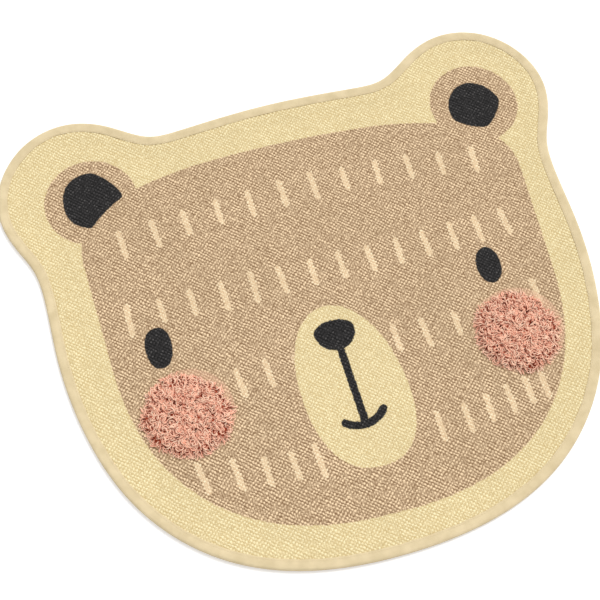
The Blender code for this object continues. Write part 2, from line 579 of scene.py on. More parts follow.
@dataclass(frozen=True)
class Stroke:
    """Straight strokes of one width with round ends.

    Attributes:
        starts, ends: The two ends of each stroke's middle line.
        width: How wide they are.
    """

    starts: Array
    ends: Array
    width: float

    def distance(self, places: Array) -> Array:
        """The distance to the nearest middle line, less half the width.

        Args:
            places: One row of x and y for each place.

        Returns:
            The distances, negative inside.
        """
        run = self.ends - self.starts
        to_place = places[:, None] - self.starts
        share = np.clip((to_place * run).sum(-1) / (run * run).sum(-1), 0, 1)
        gap = np.linalg.norm(to_place - share[..., None] * run, axis=-1)
        return gap.min(axis=1) - self.width / 2


@dataclass(frozen=True)
class Arc:
    """A stroke along part of a circle, with round ends.

    Attributes:
        centre, radius: The circle.
        middle: The bearing of the stroke's middle, in degrees.
        half_sweep: How far it runs to each side of that, in degrees.
        width: How wide it is.
    """

    centre: tuple[float, float]
    radius: float
    middle: float
    half_sweep: float
    width: float

    def distance(self, places: Array) -> Array:
        """The distance to the arc's nearest point, less half the width.

        Args:
            places: One row of x and y for each place.

        Returns:
            The distances, negative inside.
        """
        x, y = (places - self.centre).T
        middle, half_sweep = math.radians(self.middle), math.radians(self.half_sweep)
        off = (np.arctan2(y, x) - middle + math.pi) % TURN - math.pi
        bearing = middle + np.clip(off, -half_sweep, half_sweep)
        gap = np.hypot(x - self.radius * np.cos(bearing), y - self.radius * np.sin(bearing))
        return gap - self.width / 2


@dataclass(frozen=True)
class DashRow:
    """A row of short upright dashes.

    Attributes:
        first, last: The first and the last dash's place across.
        count: How many.
        height: The row's height at the middle of the head.
        sag: How much lower it is one arm to either side; the row bends as a parabola.
        fan: How far the dashes lean outward one arm to either side, in degrees.
        crowd: How much closer the dashes stand towards the last.
        lean: How far all of them lean to the left, in degrees.
        arm: The distance from the middle at which sag and fan are given.
        loose_place, loose_lean, loose_end: The spread of the dashes' places, leans and half lengths.
    """

    first: float
    last: float
    count: int
    height: float
    sag: float = 0.0
    fan: float = 3.0
    crowd: float = 0.0
    lean: float = 2.0
    arm: float = 300.0
    loose_place: float = 1.2
    loose_lean: float = 2.2
    loose_end: float = 1.8

    def lines(self, chance: np.random.Generator, length: float) -> tuple[Array, Array]:
        """The middle lines of the dashes: a dash's share of the way is t + crowd * t * (1 - t).

        Args:
            chance: The random numbers of their unevenness.
            length: How long the middle line of a dash is.

        Returns:
            The lower and the upper ends of the lines.
        """
        t = np.linspace(0, 1, self.count)
        across = self.first + (self.last - self.first) * (t + self.crowd * t * (1 - t))
        middle = np.stack([across, self.height - self.sag * (across / self.arm) ** 2], axis=1)
        middle = middle + chance.normal(0, self.loose_place, middle.shape)
        upright = 90 + self.lean - self.fan * across / self.arm
        bearing = np.radians(upright + chance.normal(0, self.loose_lean, self.count))
        reach = (length / 2 + chance.normal(0, self.loose_end, self.count))[:, None]
        along = np.stack([np.cos(bearing), np.sin(bearing)], axis=1) * reach
        return middle - along, middle + along


@dataclass
class BearFace:
    """The face printed on the cloth, as distances to the edges of its coloured areas.

    Attributes:
        head, ears: The brown areas.
        inner_ears, eyes: Charcoal marks on them.
        muzzle: The area that stays cream.
        nose, mouth, smile: Charcoal marks on it.
        rows: The rows of pale dashes.
        dash_length, dash_width: How long and how wide a dash is.
        blush_radius, blush_shift: The size of a blush disc, and how far it lies off its cheek.
        seed: The seed of the dashes' unevenness.
    """

    head: Oval = Oval(
        (7.9, 58.5), 347.6, 321.0, 138.6, 2.43, 2.54, lean=0.02, flank=78.4, taper=0.00013, tilt=-0.031
    )
    ears: tuple[Oval, ...] = (
        Oval((-308.1, 254.6), 72.3, 72.3, 72.3),
        Oval((326.5, 262.0), 69.5, 73.0, 71.5, turn=40.0),
    )
    inner_ears: tuple[Bitten, ...] = (
        Bitten(Oval((-303.1, 257.4), 48.1, 47.8, 44.5, 2.26, 1.35, turn=-94.5), -56.0, 28.0, 195.0),
        Bitten(Oval((327.0, 251.5), 42.5, 36.2, 50.1, 1.38, 1.98, turn=10.6), -121.9, 35.0, 900.0),
    )
    eyes: tuple[Oval, ...] = (
        Oval((-263.9, -6.4), 19.9, 34.7, 29.7, 2.3, 2.4, lean=0.04),
        Oval((254.3, -14.2), 19.0, 30.7, 29.3, 2.2, 2.0, lean=0.04),
    )
    muzzle: Oval = Oval((-2.6, -151.4), 78.2, 119.0, 139.6, 2.39, 2.04, lean=-0.056)
    nose: Oval = Oval((-5.6, -53.2), 31.2, 31.8, 16.9, lean=-0.04)
    mouth: Stroke = Stroke(np.array([(-4.3, -80.0)]), np.array([(-2.1, -203.5)]), 11.8)
    smile: Arc = Arc((-4.3, -162.7), 42.3, -83.7, 45.8, 12.2)
    rows: tuple[DashRow, ...] = (
        DashRow(-278.0, 293.0, 12, 189.5, 24.0, 6.0),
        DashRow(-296.5, 302.0, 14, 46.5, 0.0, 0.0, 0.08),
        DashRow(-160.9, -72.0, 3, -93.0),
        DashRow(79.5, 224.0, 4, -92.5),
        DashRow(308.2, 308.2, 1, -76.5),
        DashRow(-251.6, -81.7, 5, -240.3, -30.0, 8.0, 0.2),
        DashRow(100.7, 271.8, 6, -243.0, -33.0, 3.0, 0.24),
    )
    dash_length: float = 48.5
    dash_width: float = 9.3
    blush_radius: float = 68.0
    blush_shift: tuple[float, float] = (4.0, 3.0)
    seed: int = 11

    def dashes(self) -> Stroke:
        """All the dashes of all the rows.

        Returns:
            One stroke for all of them.
        """
        chance = np.random.default_rng(self.seed)
        ends = [row.lines(chance, self.dash_length - self.dash_width) for row in self.rows]
        lower, upper = (np.concatenate(group) for group in zip(*ends))
        return Stroke(lower, upper, self.dash_width)

    def distances(self, places: Array, cheeks: Array) -> dict[str, Array]:
        """How far outside each ink's area the places are, negative inside.

        The brown is the head and the ears without the muzzle, and the pale dashes lie on the brown
        only. The charcoal is the inner ears, eyes, nose and mouth. The blush is a disc that lies a
        little up and right of each cheek.

        Args:
            places: One row of x and y for each place.
            cheeks: The middles of the two cheeks.

        Returns:
            The distances by the inks' names.
        """
        filled = nearest((self.head, *self.ears), places)
        brown = np.maximum(filled, -self.muzzle.distance(places))
        to_cheek = np.linalg.norm(places[:, None] - cheeks - self.blush_shift, axis=-1).min(axis=1)
        marks = (*self.inner_ears, *self.eyes, self.nose, self.mouth, self.smile)
        return {
            "brown": brown,
            "pale": np.maximum(self.dashes().distance(places), brown),
            "charcoal": nearest(marks, places),
            "blush": to_cheek - self.blush_radius,
        }


def nearest(shapes: Iterable[Oval | Bitten | Stroke | Arc], places: Array) -> Array:
    """The least of the distances from each place to the edges of the shapes."""
    return np.min([shape.distance(places) for shape in shapes], axis=0)


# ---- Finishes ----


@dataclass(frozen=True)
class Ink:
    """A colour of the print.

    Attributes:
        name: The name under which the cloth stores the distance to the edge of its area.
        light: The colour where a yarn lies on top: its own colour there with painted light.
        shade: The colour between the yarns: its own colour there with painted shade.
        fray: How far the weave frays its edge, as a share of the usual.
        cover: How much of the colour beneath it covers.
        blur: Half the width over which its edge fades, in millimetres.
    """

    name: str
    light: Colour
    shade: Colour
    fray: float = 1.0
    cover: float = 1.0
    blur: float = 0.8

    def toned(self, bench: Bench, tone: Signal) -> Signal:
        """The ink's colour for a tone of the weave from 0 to 1."""
        return bench.blend(tone, self.shade, self.light)

    def share(self, bench: Bench, ragged: Signal) -> Signal:
        """How much of the ink there is: its cover inside the edge and none outside."""
        from_edge = bench.attribute(self.name) - ragged * self.fray
        return (1 - bench.step(from_edge, -self.blur, self.blur)) * self.cover


@dataclass(frozen=True)
class PrintedCotton:
    """Thick plain-woven cotton, cream, with brown, pale, blush and charcoal ink on its upper side.

    Attributes:
        cream: The bare cloth.
        brown, pale, blush, charcoal: The inks in the order in which they cover each other.
        bare_speck: The yarn that shows in specks through the charcoal.
        cloud, clouded: The shade of the wide clouds and their share, which is double on the brown.
        shaken: How far the pattern is shaken off the even chart, in yarns.
        rising, falling: How plain the two slanting rows of crossings are.
        column: How plain the columns of warp yarns are.
        own_tone, fibres: How much a crossing's own tone and the fibres count beside them.
        tones: The sums of all those that make the darkest and the lightest tone.
        printed: Between which heights the ink begins, in metres, so that the underside is bare.
        relief: The height of the yarns' fine relief, in metres.
    """

    cream: Ink = Ink("cream", dye(253, 238, 192), dye(209, 185, 132))
    brown: Ink = Ink("brown", dye(254, 225, 185), dye(133, 100, 69))
    pale: Ink = Ink("pale", dye(255, 235, 198), dye(222, 188, 147), fray=1.3)
    blush: Ink = Ink("blush", dye(238, 186, 158), dye(238, 186, 158), cover=0.35)
    charcoal: Ink = Ink("charcoal", dye(61, 59, 59), dye(17, 16, 16), fray=0.7)
    bare_speck: Colour = dye(92, 90, 88)
    cloud: Colour = (0.30, 0.21, 0.11)
    clouded: float = 0.07
    shaken: float = 1.1
    rising: float = 0.48
    falling: float = 0.36
    column: float = 0.16
    own_tone: float = 0.35
    fibres: float = 0.6
    tones: tuple[float, float] = (-0.80, 0.96)
    printed: tuple[float, float] = (2.0 * MM, 3.0 * MM)
    relief: float = 0.5 * MM

    def material(self) -> bpy.types.Material:
        """The weave's tone comes from the chart of yarn numbers, and the ink from stored distances.

        Ink reaches further on the tops of the yarns than between them. The charcoal lets the bare yarn
        through in specks on the tops.

        Returns:
            The material.
        """
        bench = Bench("printed_cotton")
        even = bench.chart("weave")
        noise = bench.noise(even, scale=0.30, detail=1.0, output="Color")
        centred = bench.vector("SUBTRACT", noise, (0.5, 0.5, 0.5))
        shake = bench.vector("MULTIPLY", centred, (self.shaken, self.shaken, 0.0))
        chart = bench.vector("ADD", even, shake)
        warp, weft, _ = bench.parts(chart)
        on_warp, on_weft = (bench.wave(yarn, 2, "COSINE") for yarn in (warp, weft))
        check = on_warp * on_weft
        random = bench.scatter(bench.vector("ADD", chart, (0.5, 0.5, 0.0)))
        fibre = bench.noise(chart, scale=2.3, detail=3.0, roughness=0.6)
        cloudy = bench.noise(bench.place(), scale=9.0)
        # The tone moves each ink from its shade colour to its light colour: the yarns' own unevenness, with
        # painted light on yarn tops and painted shade between yarns.
        tone = self.tone(bench, chart, random, fibre)

        printed = bench.step(bench.height(), *self.printed)
        ragged = check * 0.5 + (random - 0.5) * 1.6
        in_brown = self.brown.share(bench, ragged) * printed
        colour = bench.blend(in_brown, self.cream.toned(bench, tone), self.brown.toned(bench, tone))
        for ink in (self.pale, self.blush):
            colour = bench.blend(ink.share(bench, ragged) * printed, colour, ink.toned(bench, tone))
        cloud = bench.step(cloudy, 0.2, 0.8) * (in_brown + 1) * self.clouded
        colour = bench.blend(cloud, colour, self.cloud)
        speck = bench.step(random, 0.62, 0.95) * bench.step(check + (fibre - 0.5) * 2.4, 0.45, 1.0)
        charcoal = bench.blend(speck, self.charcoal.toned(bench, tone), self.bare_speck)
        colour = bench.blend(self.charcoal.share(bench, ragged) * printed, colour, charcoal)

        over = abs(on_weft) * bench.step(check, -0.4, 0.6)
        under = abs(on_warp) * bench.step(0 - check, -0.4, 0.6)
        twist = bench.wave(warp + weft * 1.4, 0.4) * 0.06
        relief = bench.math("MAXIMUM", over, under * 0.85) + twist + fibre * 0.25
        bench.finish(colour, 0.93, relief, self.relief, Specular_IOR_Level=0.2, Sheen_Weight=0.05)
        return bench.material

    def tone(self, bench: Bench, chart: Signal, random: Signal, fibre: Signal) -> Signal:
        """How light the weave is.

        At a crossing, cos(pi u) cos(pi v) is 1 where a weft yarn lies on top and -1 where a warp yarn
        does. It is half the sum of cos(pi (u + v)) and cos(pi (u - v)), two slanting rows. The yarns'
        twist makes the first row plainer, each row fades in patches of its own, and the columns of
        warp yarns show as cos(2 pi u). Every crossing has a tone of its own, and slubs streak the
        yarns both ways.

        Args:
            bench: The material's bench.
            chart: The place in yarns, u across the warp and v across the weft.
            random: A number for each crossing.
            fibre: The noise of the fibres.

        Returns:
            The tone, from 0 to 1.
        """
        warp, weft, _ = bench.parts(chart)
        rising = bench.wave(warp + weft, 2, "COSINE") * self.patches(bench, 0.0) * self.rising
        falling = bench.wave(warp - weft, 2, "COSINE") * self.patches(bench, 0.7) * self.falling
        column = bench.wave(warp, 1, "COSINE") * self.column
        woven = (rising + falling + column) * (random * 0.9 + 0.55)
        slub_along, slub_across = (
            bench.noise(bench.vector("MULTIPLY", chart, stretch), scale=1.6) - 0.5
            for stretch in ((0.25, 1.0, 1.0), (1.0, 0.25, 1.0))
        )
        own = (random - 0.5) * self.own_tone
        total = woven + own + (slub_along + slub_across) + (fibre - 0.5) * self.fibres
        return bench.step(total, *self.tones)

    def patches(self, bench: Bench, shift: float) -> Signal:
        """From 0.35 to 1 in patches of a finger's width, other patches for each shift, in metres."""
        moved = bench.vector("ADD", bench.place(), (shift, shift, shift))
        return bench.step(bench.noise(moved, scale=95.0, detail=1.0), 0.36, 0.60) * 0.65 + 0.35


@dataclass(frozen=True)
class CottonTape:
    """Smooth cream binding tape, finely woven, with painted shade along its fold.

    Attributes:
        cream, shade, fold: Its colour, the same where it is cloudy, and the painted shade on its fold.
        fold_middle: How far across the tape's chart the middle of the fold is, in millimetres.
        flat: How far from there the flat underside begins, and is sure, in millimetres.
        rub, underside_shade: How much painted shade there is at the floor's height on the fold, and on the
            underside.
        shade_heights: Between which heights the painted shade fades, in metres.
        ribs: How far apart its ribs are, along and across, in millimetres.
        relief: How high its ribs stand, in metres.
    """

    cream: Colour = dye(227, 208, 168)
    shade: Colour = dye(210, 191, 150)
    fold: Colour = dye(180, 152, 108)
    fold_middle: float = 17.7
    flat: tuple[float, float] = (5.0, 9.0)
    fold_shade: float = 0.85
    underside_shade: float = 0.25
    shade_heights: tuple[float, float] = (2.2 * MM, 6.2 * MM)
    ribs: tuple[float, float] = (0.9, 0.8)
    relief: float = 0.12 * MM

    def material(self) -> bpy.types.Material:
        """Fine ribs along and across the tape, from its chart in millimetres, and painted shade on the fold.

        The fold gets painted shade, the more the nearer the floor, and the flat underside a little.

        Returns:
            The material.
        """
        bench = Bench("cotton_tape")
        chart = bench.chart("tape")
        along, across, _ = bench.parts(chart)
        ribs = bench.wave(along, self.ribs[0]) * bench.wave(across, self.ribs[1])
        fibre = bench.noise(chart, scale=1.4, detail=3.0, roughness=0.6)
        cloudy = bench.noise(chart, scale=0.05)
        # The ribs lighten and darken the tone a little, as painted light and shade; the clouds are the tape's
        # own uneven tone.
        tone = bench.step(cloudy + (fibre - 0.5) * 0.4 + ribs * 0.06, 0.18, 0.78)
        # Painted shade: the fold darkens towards the floor, and the flat underside a little.
        low = 1 - bench.step(bench.height(), *self.shade_heights)
        flat = bench.step(abs(across - self.fold_middle), *self.flat)
        fold_shade = low * (self.fold_shade - flat * (self.fold_shade - self.underside_shade))
        colour = bench.blend(fold_shade, bench.blend(tone, self.shade, self.cream), self.fold)
        bench.finish(colour, 0.86, ribs * 0.5 + fibre, self.relief, Sheen_Weight=0.15, Sheen_Roughness=0.45)
        return bench.material


@dataclass(frozen=True)
class SewingThread:
    """Twisted cotton thread, a touch paler than the tape.

    Attributes:
        pale, shade: Its colour on the plies, with painted light, and between them, with painted shade.
        twist: How far apart its plies are, in metres.
        relief: How high they stand, in metres.
    """

    pale: Colour = dye(233, 215, 176)
    shade: Colour = dye(216, 197, 156)
    twist: float = 0.5 * MM
    relief: float = 0.012 * MM

    def material(self) -> bpy.types.Material:
        """Slanting bands of twist from the place on the thread, painted lighter on the plies and shaded
        between them.

        Returns:
            The material.
        """
        bench = Bench("sewing_thread")
        x, y, z = bench.parts(bench.place())
        band = bench.wave(x + y * 1.3 + z * 2.0, self.twist)
        # Painted light on the plies and painted shade between them.
        colour = bench.blend(bench.step(band, -1.0, 0.6), self.shade, self.pale)
        bench.finish(colour, 0.7, band, self.relief, Sheen_Weight=0.1, Sheen_Roughness=0.4)
        return bench.material


@dataclass(frozen=True)
class PileYarn:
    """Soft pink cotton yarn of the cheeks, each curl with a tone of its own.

    Attributes:
        name: The material's name.
        light, dark: Its lightest and darkest tone.
        deep: Painted shade: its colour down between the curls, near their roots and on their undersides.
        relief: How high its plies and fuzz stand, in metres.
    """

    name: str
    light: Colour = dye(255, 222, 196)
    dark: Colour = dye(255, 187, 159)
    deep: Colour = dye(158, 66, 40)
    relief: float = 0.15 * MM

    def material(self) -> bpy.types.Material:
        """A tone stored with each curl, painted shade near its root and beneath, and plies twisted round it.

        Returns:
            The material.
        """
        bench = Bench(self.name)
        around, along, _ = bench.parts(bench.chart("yarn"))
        ply = bench.wave(around + along * 0.7, 1)
        fuzz = bench.noise(bench.place(), scale=900.0, detail=3.0, roughness=0.65)
        # The plies' twist lightens and darkens the tone along each curl, as painted light and shade.
        tone = bench.step(bench.attribute("tone") + ply * 0.22 + (fuzz - 0.5) * 0.5, 0.0, 1.0)
        # The stored root share blends in the deep colour as painted shade.
        colour = bench.blend(bench.attribute("root"), bench.blend(tone, self.dark, self.light), self.deep)
        bench.finish(colour, 0.95, ply * 0.5 + fuzz, self.relief, Specular_IOR_Level=0.1)
        return bench.material


@dataclass(frozen=True)
class StudioFloor:
    """The plain pale floor: white plastic, lit a little from beneath to keep its shadows pale.

    Attributes:
        white, shade: Its colour, and the same where it is cloudy.
        glow: How strongly it shines by itself.
    """

    white: Colour = dye(250, 250, 250)
    shade: Colour = dye(247, 247, 247)
    glow: float = 0.22

    def material(self) -> bpy.types.Material:
        """Almost white, with the faintest cloud.

        Returns:
            The material.
        """
        bench = Bench("studio_floor")
        cloudy = bench.noise(bench.place(), scale=3.0)
        colour = bench.blend(cloudy, self.shade, self.white)
        bench.finish(colour, 0.95, cloudy, 0.01 * MM, Emission_Color=self.white, Emission_Strength=self.glow)
        return bench.material


# ---- The woven cloth ----


@dataclass
class WovenCloth:
    """The rug's panel as woven cloth, with a point for each crossing of its yarns.

    Attributes:
        edge: The rug's edge.
        cheeks: The middles of the two cheeks, in metres.
        warp_pitch, weft_pitch: How far apart the yarns lie across and along the rug.
        crest: How far a crossing stands above or below the cloth's middle surface.
        slub, uneven: The spread of whole yarns' and of single crossings' height, as shares of crest.
        jitter: The spread of the crossings' places.
        wander: How far the yarns wander to the side over two fingers' width.
        swell, swell_length: How far the cloth rises and sinks, and over what length.
        tuck: How far inside the rug's edge the cloth ends, under the tape.
        hidden: Past this depth the cloth has a point for each crossing.
        bare: Between which depths the weave comes out from under the tape.
        calm: The depth at which the swell is full.
        covered: At which distances from a cheek's middle the weave is hidden, and bare.
        thickness: The panel's thickness.
        lift: How much the tape under the rim raises the cloth there.
        sink: Between which depths the raised rim comes down to the floor.
        pressed: How far the seam presses the cloth down beside the tape.
        hollow: Where that hollow begins, is full, starts to rise and ends, as depths.
        under_spacing: How far apart the points of the flat underside are.
        face, cotton: The print and the finish.
        seed: The seed of its unevenness.
    """

    edge: RugEdge
    cheeks: Array
    warp_pitch: float = 3.45 * MM
    weft_pitch: float = 3.10 * MM
    crest: float = 0.30 * MM
    slub: float = 0.14
    uneven: float = 0.22
    jitter: float = 0.16 * MM
    wander: float = 0.45 * MM
    swell: float = 0.35 * MM
    swell_length: float = 110.0 * MM
    tuck: float = 3.6 * MM
    hidden: float = 7.0 * MM
    bare: tuple[float, float] = (12.0 * MM, 18.0 * MM)
    calm: float = 50.0 * MM
    covered: tuple[float, float] = (45.0 * MM, 60.0 * MM)
    thickness: float = 4.2 * MM
    lift: float = 1.5 * MM
    sink: tuple[float, float] = (17.0 * MM, 42.0 * MM)
    pressed: float = 0.20 * MM
    hollow: tuple[float, float, float, float] = (5.0 * MM, 13.0 * MM, 17.0 * MM, 24.0 * MM)
    under_spacing: float = 18.0 * MM
    face: BearFace = field(default_factory=BearFace)
    cotton: PrintedCotton = PrintedCotton()
    seed: int = 5

    def build(self) -> bpy.types.Object:
        """Makes the cloth, prints it and puts it in the place of the panel.

        Returns:
            The cloth.
        """
        columns, rows, plan, depth = self.lattice()
        kept = self.kept_cells(depth)
        used = self.used(kept)
        number = np.full(depth.shape, -1)
        number[used] = np.arange(used.sum())
        rim = self.edge.inside(self.tuck, every=2)
        top_plan = np.concatenate([plan[used], rim])
        top_depth = np.concatenate([depth[used], np.full(len(rim), self.tuck)])
        yarns = np.stack([columns[used], rows[used]], axis=1)
        top = self.upper_side(top_plan, top_depth, yarns)
        below, below_faces = self.under_side(rim)
        faces = [
            self.cell_faces(kept, number),
            self.band_faces(kept, number, plan, top_plan, len(yarns)),
            self.wall_faces(len(rim), len(yarns), len(top)),
            below_faces + len(top),
        ]
        points = np.concatenate([top, below])
        piece = make_piece("woven_cloth", points, faces)
        flat = points[:, :2]
        for ink, distance in self.face.distances(flat / MM, self.cheeks / MM).items():
            store(piece, ink, distance)
        on_yarns = flat / (self.warp_pitch, self.weft_pitch)
        on_yarns[: len(yarns)] = yarns
        lay_chart(piece, "weave", on_yarns[corner_points(piece)])
        piece.data.materials.append(self.cotton.material())
        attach(piece, "root")
        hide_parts("woven_panel")
        self.edge.area(self.tuck)
        return piece

    def lattice(self) -> tuple[Array, Array, Array, Array]:
        """All crossings of yarns over the rug's box.

        Returns:
            The numbers of the warp and of the weft yarn at each, its place, and its depth inside the edge.
        """
        pitch = np.array([self.warp_pitch, self.weft_pitch])
        most = (np.abs(self.edge.points).max(axis=0) / pitch).astype(int)
        numbers = (np.arange(-last, last + 1) for last in most)
        columns, rows = np.meshgrid(*numbers, indexing="ij")
        plan = np.stack([columns, rows], axis=-1) * pitch
        depth = self.edge.depth(plan.reshape(-1, 2)).reshape(columns.shape)
        return columns, rows, plan, depth

    def kept_cells(self, depth: Array) -> Array:
        """The cells between crossings whose four corners are all deep enough inside the rug."""
        deep = depth > self.hidden
        return deep[:-1, :-1] & deep[1:, :-1] & deep[1:, 1:] & deep[:-1, 1:]

    @staticmethod
    def used(kept: Array) -> Array:
        """The crossings that are a corner of a kept cell."""
        padded = np.pad(kept, 1)
        return padded[:-1, :-1] | padded[1:, :-1] | padded[1:, 1:] | padded[:-1, 1:]

    @staticmethod
    def cell_faces(kept: Array, number: Array) -> Array:
        """Two triangles for each kept cell, cut so that each raised crossing is a peak of its own.

        Args:
            kept: Which cells are kept.
            number: The point number of each crossing.

        Returns:
            Three point numbers a row.
        """
        i, j = np.nonzero(kept)
        a, b, c, d = number[i, j], number[i + 1, j], number[i + 1, j + 1], number[i, j + 1]
        odd = ((i + j) % 2 == (sum(kept.shape) // 2) % 2)[:, None]
        first = np.where(odd, np.stack([a, b, d], 1), np.stack([a, b, c], 1))
        second = np.where(odd, np.stack([b, c, d], 1), np.stack([a, c, d], 1))
        return np.concatenate([first, second])

    def band_faces(self, kept: Array, number: Array, plan: Array, top_plan: Array, yarns: int) -> Array:
        """Triangles between the stepped edge of the kept cells and the cloth's smooth rim.

        A Delaunay triangulation of both lines, without what falls in the kept cells or past the rim.

        Args:
            kept: Which cells are kept.
            number: The point number of each crossing.
            plan: The places of all crossings.
            top_plan: The places of the upper side's points, crossings first and then the rim.
            yarns: How many of them are crossings.

        Returns:
            Three point numbers a row.
        """
        padded = np.pad(kept, 1)
        i, j = np.nonzero(padded[1:-1, 1:] != padded[1:-1, :-1])
        level = np.stack([number[i, j], number[i + 1, j]], 1)
        i, j = np.nonzero(padded[1:, 1:-1] != padded[:-1, 1:-1])
        upright = np.stack([number[i, j], number[i, j + 1]], 1)
        loop = closed_loop(yarns, len(top_plan))
        faces = triangulate(top_plan, np.concatenate([level, upright, loop]))
        middle = top_plan[faces].mean(axis=1)
        cell = np.floor((middle - plan[0, 0]) / (self.warp_pitch, self.weft_pitch)).astype(int)
        cell = np.clip(cell, 0, np.array(kept.shape) - 1)
        outside = ~within(middle, top_plan[yarns:])
        return faces[~(kept[cell[:, 0], cell[:, 1]] | outside)]

    def upper_side(self, plan: Array, depth: Array, yarns: Array) -> Array:
        """The places of the cloth's upper points.

        Height is the thickness, the rim's lift less the hollow, a slow swell, and at each crossing
        the crest, which is up where the weft lies on top and down where the warp does, as uneven as
        hand-spun yarn.

        Args:
            plan: The points' places seen from above, crossings first and then the rim.
            depth: How far inside the rug's edge they are.
            yarns: The numbers of the warp and the weft yarn at each crossing.

        Returns:
            One row of x, y, z for each point.
        """
        chance = np.random.default_rng(self.seed)
        count, most_yarns = len(yarns), 400
        up = np.where(yarns.sum(axis=1) % 2 == 0, 1.0, -1.0)
        slubs = [chance.normal(0, self.slub, most_yarns)[yarns[:, way] + most_yarns // 2] for way in range(2)]
        crest = np.zeros(len(plan))
        crest[:count] = self.crest * (up * (1 + chance.normal(0, self.uneven, count)) + slubs[0] + slubs[1])
        shown = ease(depth, *self.bare)
        to_cheek = np.linalg.norm(plan[:, None] - self.cheeks, axis=-1).min(axis=1)
        free = shown * ease(to_cheek, *self.covered)
        begin, full, rise, end = self.hollow
        hollow = self.pressed * ease(depth, begin, full) * (1 - ease(depth, rise, end))
        rim_lift = self.lift * (1 - ease(depth, *self.sink)) - hollow
        swell = self.swell * drift(plan, self.swell_length, self.seed) * ease(depth, self.hidden, self.calm)
        height = self.thickness + rim_lift + (crest + swell) * free
        to_right = drift(plan[:, ::-1], length=50 * MM, seed=21)
        upward = drift(plan, length=60 * MM, seed=22)
        aside = np.stack([to_right, upward], axis=1) * self.wander
        aside[:count] += chance.normal(0, self.jitter, (count, 2))
        return np.column_stack([plan + aside * shown[:, None], height])

    def under_side(self, rim: Array) -> tuple[Array, Array]:
        """The flat underside: rings that step down from the rim to the floor, and a coarse middle.

        Args:
            rim: The places of the rim's points.

        Returns:
            The points, the rim's first, and three point numbers a row, seen from beneath.
        """
        first, last = self.sink
        rings = [(first, self.lift), ((first + last) / 2, self.lift / 2), (last, 0.0)]
        runs = [rim] + [self.edge.inside(inward, every=8) for inward, _ in rings]
        heights = [self.lift] + [height for _, height in rings]
        x, y = np.meshgrid(*(np.arange(-half, half, self.under_spacing) for half in (0.45, 0.40)))
        middle = np.stack([x.ravel(), y.ravel()], axis=1)
        middle = middle[self.edge.depth(middle) > last + 8 * MM]
        plan = np.concatenate([*runs, middle])
        counts = [len(run) for run in runs]
        height = np.concatenate([np.repeat(heights, counts), np.zeros(len(middle))])
        ends = np.cumsum(counts)
        loops = [closed_loop(end - count, end) for count, end in zip(counts, ends)]
        faces = triangulate(plan, np.concatenate(loops))
        faces = faces[within(plan[faces].mean(axis=1), rim)]
        return np.column_stack([plan, height]), faces[:, ::-1]

    @staticmethod
    def wall_faces(count: int, top_first: int, below_first: int) -> Array:
        """Quads from the upper rim down to the lower rim, which have the same plan."""
        above, under = (first + np.arange(count) for first in (top_first, below_first))
        return np.stack([above, under, np.roll(under, -1), np.roll(above, -1)], axis=1)


def closed_loop(first: int, end: int) -> Array:
    """The steps of a closed line over the points from first up to end, as pairs of point numbers."""
    here = np.arange(first, end)
    return np.stack([here, np.roll(here, -1)], axis=1)


def triangulate(plan: Array, edges: Array) -> Array:
    """A Delaunay triangulation of the points that the edges use, with those edges kept.

    Where the edges leave a point out, only points past the last edge's number join in.

    Args:
        plan: The places of all points.
        edges: Pairs of point numbers.

    Returns:
        Three point numbers a row, counter-clockwise.
    """
    wanted = np.zeros(len(plan), bool)
    wanted[edges] = True
    wanted[edges.max() + 1 :] = True
    numbers = np.nonzero(wanted)[0]
    local = np.cumsum(wanted) - 1
    found = delaunay_2d_cdt(plan[numbers].tolist(), local[edges].tolist(), [], 0, 1e-9)
    origin = np.array([numbers[first[0]] for first in found[3]])
    faces = origin[np.array(found[2])]
    a, b, c = (plan[faces[:, k]] for k in range(3))
    turn = (b[:, 0] - a[:, 0]) * (c[:, 1] - a[:, 1]) - (b[:, 1] - a[:, 1]) * (c[:, 0] - a[:, 0])
    return np.where(turn[:, None] < 0, faces[:, ::-1], faces)


def within(places: Array, loop: Array) -> Array:
    """Whether a ray to the right of each place crosses a closed line an odd number of times.

    Args:
        places: One row of x and y for each place.
        loop: The line's points in turn.

    Returns:
        True for each place inside the line.
    """
    x, y = places[:, :1], places[:, 1:]
    ahead = np.roll(loop, -1, axis=0)
    spans = (loop[:, 1] > y) != (ahead[:, 1] > y)
    with np.errstate(divide="ignore", invalid="ignore"):
        share = (y - loop[:, 1]) / (ahead[:, 1] - loop[:, 1])
        crossing = loop[:, 0] + share * (ahead[:, 0] - loop[:, 0])
    return (spans & (crossing > x)).sum(axis=1) % 2 == 1


# ---- The folded tape and its stitches ----


class Side(Enum):
    """The two faces of the folded tape, with the way up from each and the seed of its stitches."""

    TOP = (1, 41)
    UNDER = (-1, 42)


